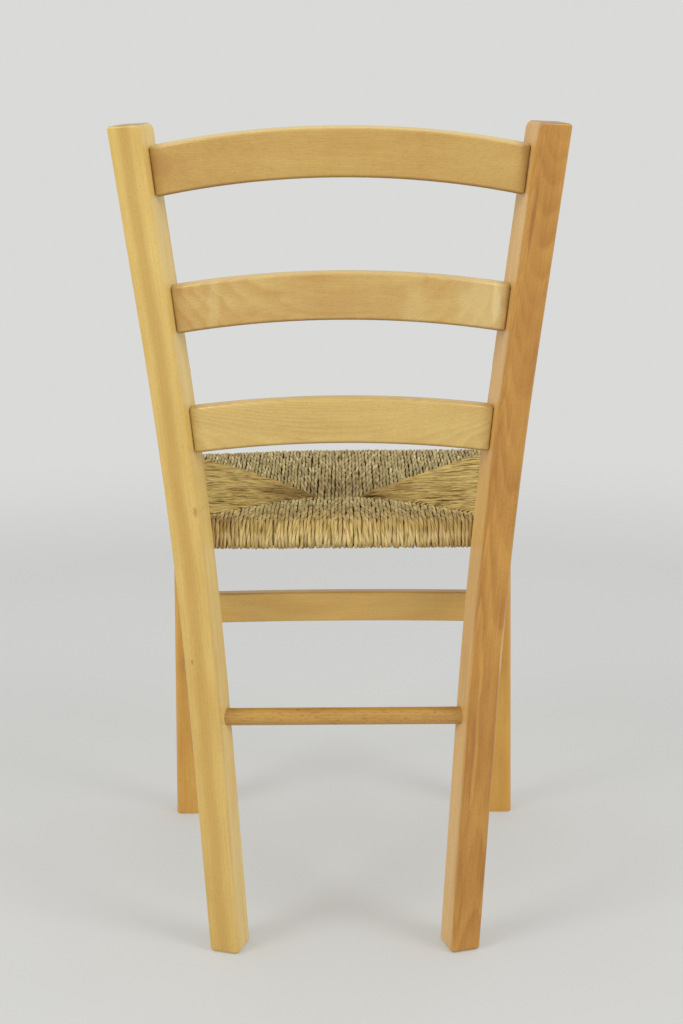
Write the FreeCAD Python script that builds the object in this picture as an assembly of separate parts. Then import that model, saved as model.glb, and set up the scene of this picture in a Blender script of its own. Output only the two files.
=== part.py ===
import FreeCAD, Part
import math
import os

# Ladderback dining chair with a woven rush seat.
# The chair stands on z = 0 and looks towards -Y; its back leans towards +Y.
# The left side is +X, as seen by someone who sits on it.  All sizes are in millimetres.

V = FreeCAD.Vector

# Rear posts: bent planks, turned about the vertical so that their inner faces look rearwards.
POST_WIDTH = 33.6
POST_DEPTH = 37.4
POST_TURN = 17.6
POST_SPLAY = 3.14
POST_FOOT_X = 125.8
POST_FOOT_Y = 143.5
POST_LENGTH = 884.6
POST_LEAN_LOW = 0.35
POST_LEAN_HIGH = 10.1
POST_BEND_START = 255.0
POST_BEND_END = 681.0
POST_EDGE_RADIUS = 4.5
POST_TOP_SLOPE = 2.5
POST_TOP_FRONT_RADIUS = 9.0
POST_TOP_EDGE_RADIUS = 2.0
POST_FOOT_RADIUS = 4.3

# Front legs: straight square legs whose feet stand slightly further out than their tops.
LEG_SIDE = 34.0
LEG_FOOT_X = 200.0
LEG_Y = -236.5
LEG_HEIGHT = 477.0
LEG_LEAN_IN = 0.9
LEG_EDGE_RADIUS = 6.0
LEG_TOP_RADIUS = 5.0
LEG_FOOT_RADIUS = 1.5

# Back slats: bowed rearwards and cut as arches; each is given by the height of its crown.
SLAT_CROWNS = {"top": 880.0, "middle": 744.0, "bottom": 619.0}
SLAT_HEIGHT = 47.3
SLAT_THICKNESS = 13.0
SLAT_SETBACK = 13.5
SLAT_ARCH_RADIUS = {"top": 700.0, "middle": 680.0, "bottom": 690.0}
SLAT_EDGE_RADIUS = 3.5
SLAT_TENON_THICKNESS = 8.0
SLAT_TENON_HEIGHT = 34.0
SLAT_TENON_DEPTH = 16.0

# Turned rungs with round tenons.
RUNG_DIAMETER = 18.5
RUNG_TENON_DIAMETER = 13.0
RUNG_TENON_DEPTH = 15.0
REAR_RUNG_Z = 265.6
REAR_RUNG_FORWARD = 6.0
SIDE_RUNG_UPPER_Z = 335.0
SIDE_RUNG_LOWER_Z = 205.0
SIDE_RUNG_LEG_INSET = 3.0

# Flat front stretcher, bowed forwards.
STRETCHER_HEIGHT = 38.5
STRETCHER_THICKNESS = 16.0
STRETCHER_Z = 274.3
STRETCHER_BOW = 7.0
STRETCHER_EDGE_RADIUS = 3.0
STRETCHER_TENON_THICKNESS = 9.0
STRETCHER_TENON_HEIGHT = 30.0
STRETCHER_TENON_DEPTH = 14.0

# Seat rails, hidden by the rush that is wound round them.
SEAT_Z = 461.0
RAIL_HEIGHT = 21.4
RAIL_THICKNESS = 19.0
RAIL_EDGE_RADIUS = 7.0
RAIL_TENON_DIAMETER = 12.0
SIDE_RAIL_REAR_X = 154.0
REAR_RAIL_FORWARD = 21.0
FRONT_RAIL_TENON_DEPTH = 15.0
SIDE_RAIL_TENON_DEPTH = 12.0
REAR_RAIL_TENON_DEPTH = 11.0

# Rush: one layer of cord over the rails, dished towards the middle of the seat.
CORD_LAYER = 5.3
ROLL_EDGE_RADIUS = 13.0
DISH_TOP = 12.0
DISH_BOTTOM = 7.5
BRIDGE_HALF = 22.0
BRIDGE_Y = -31.5
RUSH_GAP = 0.3
STUFFING_START = 20.0
SECTION_OVERRUN = 30.0

MIRROR_NORMAL = V(1, 0, 0)
ORIGIN = V(0, 0, 0)
BELOW_FLOOR = 12.0
CUTTER_REACH = 1200.0
TENON_ROOT = 8.0
SLAT_OVERRUN = 2.0
SAME_PLACE = 0.01
TILT = FreeCAD.Rotation(V(0, 1, 0), POST_SPLAY)
TURN = FreeCAD.Rotation(V(0, 0, 1), -POST_TURN)
POST_FRAME = FreeCAD.Placement(V(POST_FOOT_X, POST_FOOT_Y, 0), TILT.multiply(TURN))
LEG_FRAME = FreeCAD.Placement(V(LEG_FOOT_X, LEG_Y, 0), FreeCAD.Rotation(V(0, 1, 0), -LEG_LEAN_IN))


def mirrored(shape):
    """The same piece on the other side of the chair."""
    return shape.mirror(ORIGIN, MIRROR_NORMAL)


def both(shape):
    return {"left": shape, "right": mirrored(shape)}


def line(start, end):
    return Part.LineSegment(start, end).toShape()


def arc(start, middle, end):
    return Part.Arc(start, middle, end).toShape()


def prism(edges, direction):
    """Extrude the closed outline made by the edges."""
    return Part.Face(Part.Wire(edges)).extrude(direction)


def polygon_prism(points, bottom, top):
    """A vertical prism over plan points (x, y)."""
    corners = [V(x, y, bottom) for x, y in points]
    outline = Part.makePolygon(corners + corners[:1])
    return Part.Face(outline).extrude(V(0, 0, top - bottom))


def largest(shape):
    return max(shape.Solids, key=lambda piece: piece.Volume)


def solid_of(shape):
    """The one solid that a boolean leaves, without seams between its faces."""
    return largest(shape.removeSplitter())


def floor_cut(shape):
    reach = CUTTER_REACH
    below = Part.makeBox(2 * reach, 2 * reach, reach, V(-reach, -reach, -reach))
    return shape.cut(below)


def edges_at(shape, height):
    """The edges that lie wholly at one height."""
    found = []
    for edge in shape.Edges:
        box = edge.BoundBox
        if abs(box.ZMin - height) < SAME_PLACE and abs(box.ZMax - height) < SAME_PLACE:
            found.append(edge)
    return found


def bar(start, end, radius):
    along = end - start
    return Part.makeCylinder(radius, along.Length, start, along)


class PostPath:
    """Centre line of a post in its own plane: y runs back, z runs up."""

    low = math.radians(POST_LEAN_LOW)
    high = math.radians(POST_LEAN_HIGH)
    radius = (POST_BEND_END - POST_BEND_START) / (math.sin(high) - math.sin(low))
    bend_start = V(0, POST_BEND_START * math.tan(low), POST_BEND_START)
    centre = bend_start + V(0, math.cos(low), -math.sin(low)) * radius

    @classmethod
    def on_arc(cls, lean, back):
        return cls.centre + V(0, -math.cos(lean), math.sin(lean)) * (cls.radius - back)

    @classmethod
    def lean_at(cls, height):
        """Lean of the centre line at a height."""
        share = (height - POST_BEND_START) / (POST_BEND_END - POST_BEND_START)
        share = min(max(share, 0.0), 1.0)
        low_sine = math.sin(cls.low)
        return math.asin(low_sine + share * (math.sin(cls.high) - low_sine))

    @classmethod
    def point(cls, height, back=0.0):
        """Point at a height of the centre line, moved back square to it."""
        lean = cls.lean_at(height)
        if height < POST_BEND_START:
            on_line = V(0, height * math.tan(cls.low), height)
        elif height < POST_BEND_END:
            on_line = cls.on_arc(lean, 0.0)
        else:
            last = cls.on_arc(cls.high, 0.0)
            on_line = last + V(0, math.tan(cls.high), 1.0) * (height - last.z)
        return on_line + V(0, math.cos(lean), -math.sin(lean)) * back


def post_blank(grow=0.0):
    """A bent post with rounded edges, without its mortises, on the left side."""
    half = POST_DEPTH / 2 + grow
    width = POST_WIDTH + 2 * grow
    middle_lean = (PostPath.low + PostPath.high) / 2
    along = V(0, math.sin(PostPath.high), math.cos(PostPath.high))
    slope = math.radians(POST_TOP_SLOPE)
    across = V(0, math.cos(slope), -math.sin(slope))
    reach = half / math.cos(PostPath.high - slope)
    top_centre = PostPath.point(POST_LENGTH)
    corner = top_centre - across * reach
    half_corner = math.radians(90.0) / 2 + (PostPath.high - slope) / 2
    tangent = POST_TOP_FRONT_RADIUS / math.tan(half_corner)
    bisector = (across - along).normalize()
    front_low = PostPath.point(-BELOW_FLOOR, -half)
    front_start = PostPath.on_arc(PostPath.low, -half)
    front_end = PostPath.on_arc(PostPath.high, -half)
    front_top = corner - along * tangent
    top_front = corner + across * tangent
    top_middle = corner + bisector * POST_TOP_FRONT_RADIUS * (1 / math.sin(half_corner) - 1)
    top_back = top_centre + across * reach
    back_end = PostPath.on_arc(PostPath.high, half)
    back_start = PostPath.on_arc(PostPath.low, half)
    back_low = PostPath.point(-BELOW_FLOOR, half)
    outline = [
        line(front_low, front_start),
        arc(front_start, PostPath.on_arc(middle_lean, -half), front_end),
        line(front_end, front_top),
        arc(front_top, top_middle, top_front),
        line(top_front, top_back),
        line(top_back, back_end),
        arc(back_end, PostPath.on_arc(middle_lean, half), back_start),
        line(back_start, back_low),
        line(back_low, front_low),
    ]
    blank = prism(outline, V(width, 0, 0))
    blank.translate(V(-width / 2, 0, 0))
    long_edges = []
    for edge in blank.Edges:
        box = edge.BoundBox
        on_top = edge.CenterOfMass.z > top_back.z - 0.1 and box.YMax > top_front.y + 1.0
        if box.XLength < 0.01 and box.ZMax > -BELOW_FLOOR + half and not on_top:
            long_edges.append(edge)
    blank = blank.makeFillet(POST_EDGE_RADIUS, long_edges)
    top_edges = []
    for edge in blank.Edges:
        middle = edge.valueAt((edge.FirstParameter + edge.LastParameter) / 2)
        height = (middle - top_back).dot(V(0, math.sin(slope), math.cos(slope)))
        if abs(height) < 0.01 and middle.y > top_front.y + 1.0:
            top_edges.append(edge)
    blank = blank.makeFillet(POST_TOP_EDGE_RADIUS, top_edges)
    blank.Placement = POST_FRAME
    blank = floor_cut(blank)
    return solid_of(blank.makeFillet(POST_FOOT_RADIUS, edges_at(blank, 0.0)))


def in_post_plane(height, across, back):
    """A point of the chair given in a post's own directions."""
    return POST_FRAME.multVec(PostPath.point(height, back) + V(across, 0, 0))


def outside_inner_face():
    """Everything outwards of a post's inner face."""
    reach = CUTTER_REACH
    block = Part.makeBox(reach, reach, 2 * reach, V(-POST_WIDTH / 2, -reach / 2, -reach / 2))
    block.Placement = POST_FRAME
    return block


def leg_blank(grow=0.0):
    """A front leg without its mortises, on the left side."""
    side = LEG_SIDE + 2 * grow
    blank = Part.makeBox(side, side, LEG_HEIGHT + BELOW_FLOOR, V(-side / 2, -side / 2, -BELOW_FLOOR))
    upright = [edge for edge in blank.Edges if edge.BoundBox.ZLength > 1.0]
    blank = blank.makeFillet(LEG_EDGE_RADIUS, upright)
    blank = blank.makeFillet(LEG_TOP_RADIUS, edges_at(blank, LEG_HEIGHT))
    blank.Placement = LEG_FRAME
    blank = floor_cut(blank)
    return solid_of(blank.makeFillet(LEG_FOOT_RADIUS, edges_at(blank, 0.0)))


def leg_point(height, inward=0.0, back=0.0):
    """A point of the left front leg, from its centre line."""
    return LEG_FRAME.multVec(V(-inward, back, height))


def ring_sector(centre, middle_radius, thickness, half_angle, front):
    """Flat face between two arcs; front is +1 where the crown points to +Y, else -1."""
    inner = middle_radius - thickness / 2
    outer = middle_radius + thickness / 2

    def at(radius, angle):
        return centre + V(radius * math.sin(angle), front * radius * math.cos(angle), 0)

    outline = [
        arc(at(outer, -half_angle), at(outer, 0.0), at(outer, half_angle)),
        line(at(outer, half_angle), at(inner, half_angle)),
        arc(at(inner, half_angle), at(inner, 0.0), at(inner, -half_angle)),
        line(at(inner, -half_angle), at(outer, -half_angle)),
    ]
    return Part.Face(Part.Wire(outline))


def slat_end(crown, arch_radius):
    """Height on the post at which a slat's end is centred, with the slat's own frame."""
    bow = math.radians(POST_TURN)
    height = crown - SLAT_HEIGHT
    back = POST_DEPTH / 2 - SLAT_SETBACK - SLAT_THICKNESS / 2
    for _ in range(5):
        end = in_post_plane(height, -POST_WIDTH / 2, back)
        lean = PostPath.lean_at(height) * math.cos(bow)
        bow_rise = end.x * math.tan(bow / 2)
        arch_rise = arch_radius - math.sqrt(arch_radius ** 2 - end.x ** 2)
        crown_up = SLAT_HEIGHT / 2 + arch_rise
        reached = end.z + crown_up * math.cos(lean) - bow_rise * math.sin(lean)
        height += crown - reached
    return height, end, lean, crown_up, back


def back_slat(crown, arch_radius):
    """A slat and its tenons: bowed plank, cut to an arch between the inner faces."""
    height, end, lean, crown_up, back = slat_end(crown, arch_radius)
    bow = math.radians(POST_TURN)
    bow_radius = end.x / math.sin(bow)
    overrun = math.radians(SLAT_OVERRUN)
    bend_centre = V(0, -bow_radius * math.cos(bow), -2 * SLAT_HEIGHT)
    plank = ring_sector(bend_centre, bow_radius, SLAT_THICKNESS, bow + overrun, 1)
    plank = plank.extrude(V(0, 0, 4 * SLAT_HEIGHT))
    middle_radius = arch_radius - SLAT_HEIGHT / 2
    arch_centre = V(0, crown_up - arch_radius, 0)
    half_angle = math.asin(end.x / middle_radius) + overrun
    arch = ring_sector(arch_centre, middle_radius, SLAT_HEIGHT, half_angle, 1)
    arch = arch.extrude(V(0, 0, CUTTER_REACH))
    arch.translate(V(0, 0, -CUTTER_REACH / 2))
    arch.rotate(ORIGIN, V(1, 0, 0), 90)
    slat = plank.common(arch)
    slat.rotate(ORIGIN, V(1, 0, 0), -math.degrees(lean))
    slat.translate(V(0, end.y, end.z))
    beyond = outside_inner_face()
    slat = slat.cut(beyond).cut(mirrored(beyond))
    slat = solid_of(slat)
    slat = slat.makeFillet(SLAT_EDGE_RADIUS, slat.Edges)
    tenon = Part.makeBox(TENON_ROOT + SLAT_TENON_DEPTH, SLAT_TENON_THICKNESS, SLAT_TENON_HEIGHT)
    corner = V(-POST_WIDTH / 2 - TENON_ROOT, -SLAT_TENON_THICKNESS / 2, -SLAT_TENON_HEIGHT / 2)
    tenon.translate(corner)
    tenon.rotate(ORIGIN, V(1, 0, 0), -math.degrees(PostPath.lean_at(height)))
    tenon.translate(PostPath.point(height, back))
    tenon.Placement = POST_FRAME.multiply(tenon.Placement)
    return slat, tenon


def crosspiece(body, tenon, uprights):
    """Trim a body to what shows between the uprights, and leave its tenons in them."""
    shown = body
    for upright in uprights:
        shown = shown.cut(upright)
    return solid_of(solid_of(shown).fuse(tenon))


def shortened(start, end, start_depth, end_depth):
    """The line between two points, lengthened by a depth at each end."""
    along = (end - start).normalize()
    return start - along * start_depth, end + along * end_depth


def rung(start, end, uprights, reach, depth):
    """A turned rung between two points that lie on the uprights' faces."""
    body = bar(*shortened(start, end, reach, reach), RUNG_DIAMETER / 2)
    tenon = bar(*shortened(start, end, depth, depth), RUNG_TENON_DIAMETER / 2)
    return crosspiece(body, tenon, uprights)


def rear_rung(posts):
    end = in_post_plane(REAR_RUNG_Z, -POST_WIDTH / 2, -REAR_RUNG_FORWARD)
    start = V(-end.x, end.y, end.z)
    return rung(start, end, posts, POST_WIDTH / 4, RUNG_TENON_DEPTH)


def side_rung(height, post, leg):
    start = in_post_plane(height, 0.0, -POST_DEPTH / 2)
    end = leg_point(start.z, SIDE_RUNG_LEG_INSET, LEG_SIDE / 2)
    return rung(start, end, (post, leg), LEG_SIDE / 3, RUNG_TENON_DEPTH)


def front_stretcher(legs):
    inner_x = leg_point(STRETCHER_Z, LEG_SIDE / 2).x
    bow_radius = (inner_x ** 2 + STRETCHER_BOW ** 2) / (2 * STRETCHER_BOW)
    half_angle = math.asin((inner_x + LEG_SIDE / 4) / bow_radius)
    sag = bow_radius - math.sqrt(bow_radius ** 2 - inner_x ** 2)
    centre = V(0, LEG_Y + bow_radius - sag, STRETCHER_Z - STRETCHER_HEIGHT / 2)
    plank = ring_sector(centre, bow_radius, STRETCHER_THICKNESS, half_angle, -1)
    plank = plank.extrude(V(0, 0, STRETCHER_HEIGHT))
    for leg in legs:
        plank = plank.cut(leg)
    plank = solid_of(plank)
    plank = plank.makeFillet(STRETCHER_EDGE_RADIUS, plank.Edges)
    length = TENON_ROOT + STRETCHER_TENON_DEPTH
    tenon = Part.makeBox(length, STRETCHER_TENON_THICKNESS, STRETCHER_TENON_HEIGHT)
    low_side = STRETCHER_Z - STRETCHER_TENON_HEIGHT / 2
    tenon.translate(V(inner_x - TENON_ROOT, LEG_Y - STRETCHER_TENON_THICKNESS / 2, low_side))
    return solid_of(plank.fuse([tenon, mirrored(tenon)]))


# Plan lines of the seat: the rails' centre lines, and where they cross.
FRONT_RAIL_Y = LEG_Y
REAR_RAIL_Y = POST_FOOT_Y - REAR_RAIL_FORWARD
SIDE_RAIL_REAR = V(SIDE_RAIL_REAR_X, POST_FOOT_Y, SEAT_Z)
SIDE_RAIL_FRONT = V(leg_point(SEAT_Z).x, LEG_Y + LEG_SIDE / 2, SEAT_Z)
SIDE_RAIL_ALONG = (SIDE_RAIL_FRONT - SIDE_RAIL_REAR).normalize()
ROLL_HALF_THICKNESS = RAIL_THICKNESS / 2 + CORD_LAYER
ROLL_HALF_HEIGHT = RAIL_HEIGHT / 2 + CORD_LAYER
APEX = V(BRIDGE_HALF, BRIDGE_Y, SEAT_Z)


def side_axis_at(y):
    """Point of the left side rail's centre line."""
    return SIDE_RAIL_REAR + SIDE_RAIL_ALONG * ((y - SIDE_RAIL_REAR.y) / SIDE_RAIL_ALONG.y)


FRONT_CROSSING = side_axis_at(FRONT_RAIL_Y)
REAR_CROSSING = side_axis_at(REAR_RAIL_Y)


def rounded_rectangle(half_width, half_height, radius):
    """Outline about the origin in the XZ plane."""
    inset = radius * (1 - math.sqrt(0.5))
    outline = []
    corners = ((1, 1), (1, -1), (-1, -1), (-1, 1))
    previous = None
    first = None
    for x, z in corners:
        flat_side = V(x * half_width, 0, z * (half_height - radius))
        flat_end = V(x * (half_width - radius), 0, z * half_height)
        middle = V(x * (half_width - inset), 0, z * (half_height - inset))
        enter, leave = (flat_end, flat_side) if x * z > 0 else (flat_side, flat_end)
        if previous:
            outline.append(line(previous, enter))
        else:
            first = enter
        outline.append(arc(enter, middle, leave))
        previous = leave
    outline.append(line(previous, first))
    return outline


def laid_along(face, start, end, inward):
    """Extrude a section from start to end; its x points inward."""
    along = end - start
    back = V(0, 0, 1).cross(inward)
    if back.dot(along) < 0:
        start = end
    solid = face.extrude(V(0, along.Length, 0))
    frame = FreeCAD.Matrix(
        inward.x, back.x, 0, start.x,
        inward.y, back.y, 0, start.y,
        0, 0, 1, start.z,
        0, 0, 0, 1,
    )
    solid.Placement = FreeCAD.Placement(frame)
    return solid


def inward_of(start, end):
    """The direction from a rail line to the middle of the seat."""
    along = (end - start).normalize()
    inward = V(-along.y, along.x, 0)
    return inward if inward.dot(APEX - start) > 0 else inward * -1


def rail_section():
    outline = rounded_rectangle(RAIL_THICKNESS / 2, RAIL_HEIGHT / 2, RAIL_EDGE_RADIUS)
    return Part.Face(Part.Wire(outline))


def rail(start, end):
    """A rail with rounded edges between two points of its centre line."""
    return laid_along(rail_section(), start, end, inward_of(start, end))


def seat_rails(post, leg):
    """The four rails: the side rails join the posts and legs, the rear rail joins the side rails."""
    radius = RAIL_TENON_DIAMETER / 2
    side_start = side_axis_at(in_post_plane(SEAT_Z, 0.0, -POST_DEPTH / 2).y)
    depth = SIDE_RAIL_TENON_DEPTH
    long_rail = rail(*shortened(side_start, SIDE_RAIL_FRONT, LEG_SIDE / 4, LEG_SIDE / 4))
    tenon = bar(*shortened(side_start, SIDE_RAIL_FRONT, depth, depth), radius)
    side = crosspiece(long_rail, tenon, (post, leg))
    rear_x = REAR_CROSSING.x - RAIL_THICKNESS / 2
    rear_reach = V(rear_x + RAIL_THICKNESS / 4, REAR_RAIL_Y, SEAT_Z)
    rear_body = rail(V(-rear_reach.x, REAR_RAIL_Y, SEAT_Z), rear_reach)
    rear_tip = V(rear_x + REAR_RAIL_TENON_DEPTH, REAR_RAIL_Y, SEAT_Z)
    rear_tenon = bar(V(-rear_tip.x, REAR_RAIL_Y, SEAT_Z), rear_tip, radius)
    rear = crosspiece(rear_body, rear_tenon, (side, mirrored(side)))
    inner_x = leg_point(SEAT_Z, LEG_SIDE / 2).x
    front_y = FRONT_RAIL_Y - RAIL_TENON_DIAMETER / 4
    front_reach = V(inner_x + LEG_SIDE / 4, FRONT_RAIL_Y, SEAT_Z)
    front_body = rail(V(-front_reach.x, FRONT_RAIL_Y, SEAT_Z), front_reach)
    front_tip = V(inner_x + FRONT_RAIL_TENON_DEPTH, front_y, SEAT_Z)
    front_tenon = bar(V(-front_tip.x, front_y, SEAT_Z), front_tip, radius)
    front = crosspiece(front_body, front_tenon, (leg, mirrored(leg)))
    left = solid_of(side.cut(rear))
    return {"front": front, "rear": rear, "left": left, "right": mirrored(left)}


def dish_edges(span, start, wall):
    """Upper and lower edge of a panel's section from a distance inward of its rail."""
    half_height = ROLL_HALF_HEIGHT - wall
    top_radius = (span ** 2 + DISH_TOP ** 2) / (2 * DISH_TOP)
    bottom_radius = (span ** 2 + DISH_BOTTOM ** 2) / (2 * DISH_BOTTOM)

    def top_at(x):
        return V(x, 0, half_height - top_radius + math.sqrt(top_radius ** 2 - x ** 2))

    def bottom_at(x):
        return V(x, 0, -half_height + bottom_radius - math.sqrt(bottom_radius ** 2 - x ** 2))

    middle = (start + span) / 2
    return [
        arc(top_at(start), top_at(middle), top_at(span)),
        line(top_at(span), bottom_at(span)),
        arc(bottom_at(span), bottom_at(middle), bottom_at(start)),
    ], bottom_at(start), top_at(start)


def stuffing_section(span):
    edges, low, high = dish_edges(span, STUFFING_START, CORD_LAYER)
    return Part.Face(Part.Wire(edges + [line(low, high)]))


def rush_section(span):
    """Section of a woven panel: a roll about the rail, then two layers that meet in the middle."""
    edges, low, high = dish_edges(span, 0.0, 0.0)
    left = -ROLL_HALF_THICKNESS
    turn = ROLL_EDGE_RADIUS
    cut = turn * (1 - math.sqrt(0.5))
    height = ROLL_HALF_HEIGHT
    edges += [
        line(low, V(left + turn, 0, -height)),
        arc(V(left + turn, 0, -height), V(left + cut, 0, -height + cut), V(left, 0, -height + turn)),
        line(V(left, 0, -height + turn), V(left, 0, height - turn)),
        arc(V(left, 0, height - turn), V(left + cut, 0, height - cut), V(left + turn, 0, height)),
        line(V(left + turn, 0, height), high),
    ]
    outside = Part.Face(Part.Wire(edges))
    return outside.cut(rail_section()).cut(stuffing_section(span))


def mitred(section_of, start, end, plan):
    """A section carried along a rail line, cut to its mitred plan outline."""
    inward = inward_of(start, end)
    span = inward.dot(APEX - start)
    run = (end - start).normalize() * SECTION_OVERRUN
    strip = laid_along(section_of(span), start - run, end + run, inward)
    outline = [(point.x, point.y) for point in plan]
    return strip.common(polygon_prism(outline, 0.0, 2 * SEAT_Z))


def flipped(points):
    return [V(-point.x, point.y, point.z) for point in reversed(points)]


def seat_panels(section_of):
    """Front, rear, left and right panels; their plans meet on the mitre lines."""
    margin = SECTION_OVERRUN
    front_side = [APEX, FRONT_CROSSING, FRONT_CROSSING - V(0, margin, 0)]
    rear_side = [APEX, REAR_CROSSING, REAR_CROSSING + V(0, margin, 0)]
    left_plan = [
        APEX,
        FRONT_CROSSING,
        FRONT_CROSSING + V(margin, 0, 0),
        REAR_CROSSING + V(margin, margin, 0),
        REAR_CROSSING + V(0, margin, 0),
        REAR_CROSSING,
    ]
    left = mitred(section_of, REAR_CROSSING, FRONT_CROSSING, left_plan)
    front_start = V(-FRONT_CROSSING.x, FRONT_RAIL_Y, SEAT_Z)
    rear_start = V(-REAR_CROSSING.x, REAR_RAIL_Y, SEAT_Z)
    return {
        "front": mitred(section_of, front_start, FRONT_CROSSING, front_side + flipped(front_side)),
        "rear": mitred(section_of, rear_start, REAR_CROSSING, rear_side + flipped(rear_side)),
        "left": left,
        "right": mirrored(left),
    }


def rush_seat(rails):
    """The woven panels, and the straw that is packed into the pocket of each."""
    uprights = [post_blank(RUSH_GAP), leg_blank(RUSH_GAP)]
    uprights += [mirrored(upright) for upright in uprights]
    panels = {}
    for name, panel in seat_panels(rush_section).items():
        other_rails = [shape for rail_name, shape in rails.items() if rail_name != name]
        panels[name] = largest(panel.cut(uprights + other_rails))
    return panels, seat_panels(stuffing_section)


def build():
    """All nodes of the chair by name."""
    post = post_blank()
    leg = leg_blank()
    posts = both(post)
    legs = both(leg)
    nodes = {}
    post_cutters = []
    leg_cutters = []
    for name, crown in SLAT_CROWNS.items():
        slat, tenon = back_slat(crown, SLAT_ARCH_RADIUS[name])
        nodes["back_slat_" + name] = solid_of(slat.fuse([tenon, mirrored(tenon)]))
        post_cutters.append(nodes["back_slat_" + name])
    nodes["rear_rung"] = rear_rung(posts.values())
    post_cutters.append(nodes["rear_rung"])
    nodes["front_stretcher"] = front_stretcher(legs.values())
    leg_cutters.append(nodes["front_stretcher"])
    for level, height in (("upper", SIDE_RUNG_UPPER_Z), ("lower", SIDE_RUNG_LOWER_Z)):
        piece = side_rung(height, post, leg)
        for side, shape in both(piece).items():
            nodes["side_rung_" + level + "_" + side] = shape
        post_cutters.append(piece)
        leg_cutters.append(piece)
    rails = seat_rails(post, leg)
    for name, shape in rails.items():
        nodes["seat_rail_" + name] = shape
    post_cutters.append(rails["left"])
    leg_cutters += [rails["left"], rails["front"]]
    for side, shape in both(solid_of(post.cut(post_cutters))).items():
        nodes["rear_post_" + side] = shape
    for side, shape in both(solid_of(leg.cut(leg_cutters))).items():
        nodes["front_leg_" + side] = shape
    panels, stuffing = rush_seat(rails)
    for name in panels:
        nodes["rush_" + name] = panels[name]
        nodes["seat_stuffing_" + name] = largest(stuffing[name])
    return nodes


def export(nodes):
    os.makedirs("parts", exist_ok=True)
    for name, shape in nodes.items():
        shape.exportStep(os.path.join("parts", name + ".step"))


NODES = build()
export(NODES)
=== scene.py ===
import math
import random

import bpy
import numpy as np
from mathutils import Matrix, Vector, noise


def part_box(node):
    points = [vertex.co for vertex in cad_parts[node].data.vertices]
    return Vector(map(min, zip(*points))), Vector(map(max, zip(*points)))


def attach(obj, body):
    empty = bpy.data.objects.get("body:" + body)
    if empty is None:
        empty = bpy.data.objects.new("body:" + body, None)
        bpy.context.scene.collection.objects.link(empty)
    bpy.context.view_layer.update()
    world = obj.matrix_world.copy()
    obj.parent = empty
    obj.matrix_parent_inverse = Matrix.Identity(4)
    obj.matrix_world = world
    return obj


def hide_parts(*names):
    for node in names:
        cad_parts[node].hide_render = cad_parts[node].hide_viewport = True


# A ladderback chair of varnished beech with a seat of twisted rush, seen from behind.
# The chair looks towards -Y and stands on z = 0.  Shapes are in metres.  Materials work in
# millimetres, and their colours are given as display values from 0 to 255.

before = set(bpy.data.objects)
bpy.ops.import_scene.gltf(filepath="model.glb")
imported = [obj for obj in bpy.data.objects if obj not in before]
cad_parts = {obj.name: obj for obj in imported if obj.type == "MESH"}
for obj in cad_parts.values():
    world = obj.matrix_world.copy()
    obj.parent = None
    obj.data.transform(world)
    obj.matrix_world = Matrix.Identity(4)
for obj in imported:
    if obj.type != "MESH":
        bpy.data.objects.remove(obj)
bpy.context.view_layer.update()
SEED = 7340
MM = 1000.0
BACK = (0.0, 1.0, 0.0)
UP = (0.0, 0.0, 1.0)

# The photograph is 683 x 1024 pixels, and its camera stands behind the chair.
PHOTO_LONG_SIDE = 1024.0
FOCAL_PIXELS = 1747.05
SENSOR = 36.0
CAMERA_PLACE = Vector((0.00015, 1.89815, 0.90798))
CAMERA_YAW = -0.0003
CAMERA_PITCH = 0.2346
CAMERA_ROLL = -0.0066
CAMERA_CLIP = (0.05, 60.0)

# Posts and legs, as the solids have them.
POST_FOOT = Vector((0.1258, 0.1435, 0.0))
POST_SPLAY = math.radians(3.14)
POST_TURN = math.radians(17.6)
POST_BEND_START = 0.255
POST_BEND_END = 0.681
POST_LEAN = math.radians(10.1)
LEG_LEAN = math.radians(0.9)

# The woven seat, as the solids have it.
SEAT_Z = 0.461
ROLL_HALF_THICKNESS = 0.0148
ROLL_HALF_HEIGHT = 0.016
ROLL_EDGE_RADIUS = 0.013
DISH_TOP = 0.012
DISH_BOTTOM = 0.0075
CORD_LAYER = 0.0053
BRIDGE_HALF = 0.022
BRIDGE_Y = -0.0315
FRONT_RAIL_Y = -0.2365
REAR_RAIL_Y = 0.1225
FRONT_CORNER_X = 0.1944
REAR_CORNER_X = 0.1563


def linear(red, green, blue):
    """A colour given in display values, as linear light."""
    channels = []
    for value in (red, green, blue):
        share = value / 255
        channels.append(share / 12.92 if share <= 0.04045 else ((share + 0.055) / 1.055) ** 2.4)
    return (*channels, 1.0)


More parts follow.
